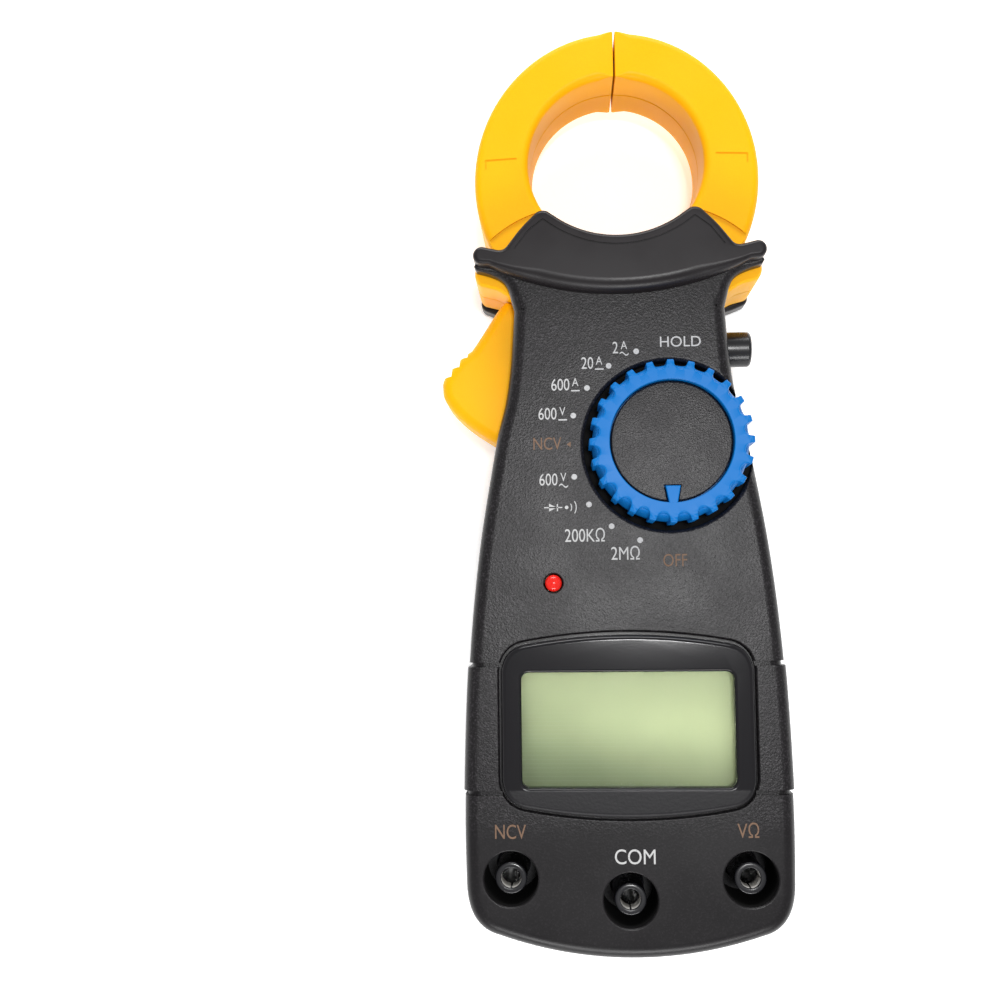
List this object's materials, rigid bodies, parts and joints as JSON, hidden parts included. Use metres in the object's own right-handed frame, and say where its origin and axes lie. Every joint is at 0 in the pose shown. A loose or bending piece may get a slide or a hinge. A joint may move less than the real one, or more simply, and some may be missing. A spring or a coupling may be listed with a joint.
{
  "type": "clamp meter",
  "caption": "Hand-held clamp meter: two curved jaws close round a wire, a side trigger opens them, and a fluted dial sets the range read on the display.",
  "frame": {"origin": "the point of the flat back on the centre line, half way along the body", "axes": "+Z the way the face points, +Y from the sockets to the jaws, +X to the right as the face is read"},
  "size_m": [0.0752, 0.2047, 0.037],
  "materials": {
    "case_plastic": "spark-eroded charcoal plastic",
    "guard_plastic": "smooth satin charcoal plastic",
    "jaw_plastic": "satin yellow plastic",
    "dial_plastic": "satin blue plastic",
    "black_plastic": "polished black plastic",
    "lens": "clear window",
    "display": "grey-green liquid-crystal cell",
    "white_plastic": "natural white plastic",
    "board": "glass-fibre board with green varnish",
    "steel": "bright zinc plated steel",
    "nickel": "nickel plated brass",
    "brass": "bright brass",
    "iron": "bare laminated iron",
    "copper": "enamelled copper winding",
    "rubber": "grey conductive rubber strip",
    "red_lens": "polished red resin",
    "cell_jacket": "printed jacket"
  },
  "bodies": {
    "case": {"front_cover": "case_plastic", "rear_cover": "case_plastic", "display_bezel": "case_plastic", "hand_guard": "guard_plastic", "case_screw_1": "steel", "case_screw_2": "steel", "case_screw_3": "steel", "case_screw_4": "steel", "case_screw_5": "steel", "jaw_pivot_pin": "steel", "trigger_spring": "steel", "battery_spring_1": "steel", "battery_spring_2": "steel", "battery_plate_1": "steel", "battery_plate_2": "steel", "display_lens": "lens", "display_glass": "display", "display_holder": "white_plastic", "display_connector": "rubber", "fixed_jaw_front_shell": "jaw_plastic", "fixed_jaw_rear_shell": "jaw_plastic", "fixed_jaw_core": "iron", "fixed_jaw_coil": "copper", "buzzer": "brass", "main_board": "board", "jack_post_left": "black_plastic", "jack_post_common": "black_plastic", "jack_post_right": "black_plastic", "hold_switch": "black_plastic", "jack_contact_left": "nickel", "jack_contact_common": "nickel", "jack_contact_right": "nickel", "indicator_led": "red_lens", "battery_1": "cell_jacket", "battery_2": "cell_jacket"},
    "moving_jaw": {"moving_jaw_front_shell": "jaw_plastic", "moving_jaw_rear_shell": "jaw_plastic", "moving_jaw_core": "iron", "moving_jaw_coil": "copper", "trigger": "jaw_plastic"},
    "range_dial": {"dial_knob": "dial_plastic", "dial_cap": "case_plastic", "switch_rotor": "white_plastic", "wiper_contacts": "brass", "detent_ball_1": "steel", "detent_ball_2": "steel"},
    "hold_key": {"hold_button": "black_plastic"},
    "battery_cover": {"battery_door": "case_plastic", "door_screw": "steel"}
  },
  "joints": [
    {"name": "jaw_hinge", "type": "hinge", "parent": "case", "child": "moving_jaw", "pos_m": [-0.01, 0.036, 0], "axis": [0, 0, 1], "range_deg": [0, 25], "stiffness_Nm_per_rad": 0.5, "springref_deg": -20.05, "deforming": ["trigger_spring"]},
    {"name": "dial_turn", "type": "hinge", "parent": "case", "child": "range_dial", "pos_m": [0.0102, 0.0085, 0], "axis": [0, 0, 1], "range_deg": [-162, 0]},
    {"name": "hold_press", "type": "slide", "parent": "case", "child": "hold_key", "axis": [-1, 0, 0], "range_m": [0, 0.0015], "stiffness_N_per_m": 600, "springref_m": -0.0008},
    {"name": "battery_door_lift", "type": "slide", "parent": "case", "child": "battery_cover", "axis": [0, 0, -1], "range_m": [0, 0.03]}
  ]
}
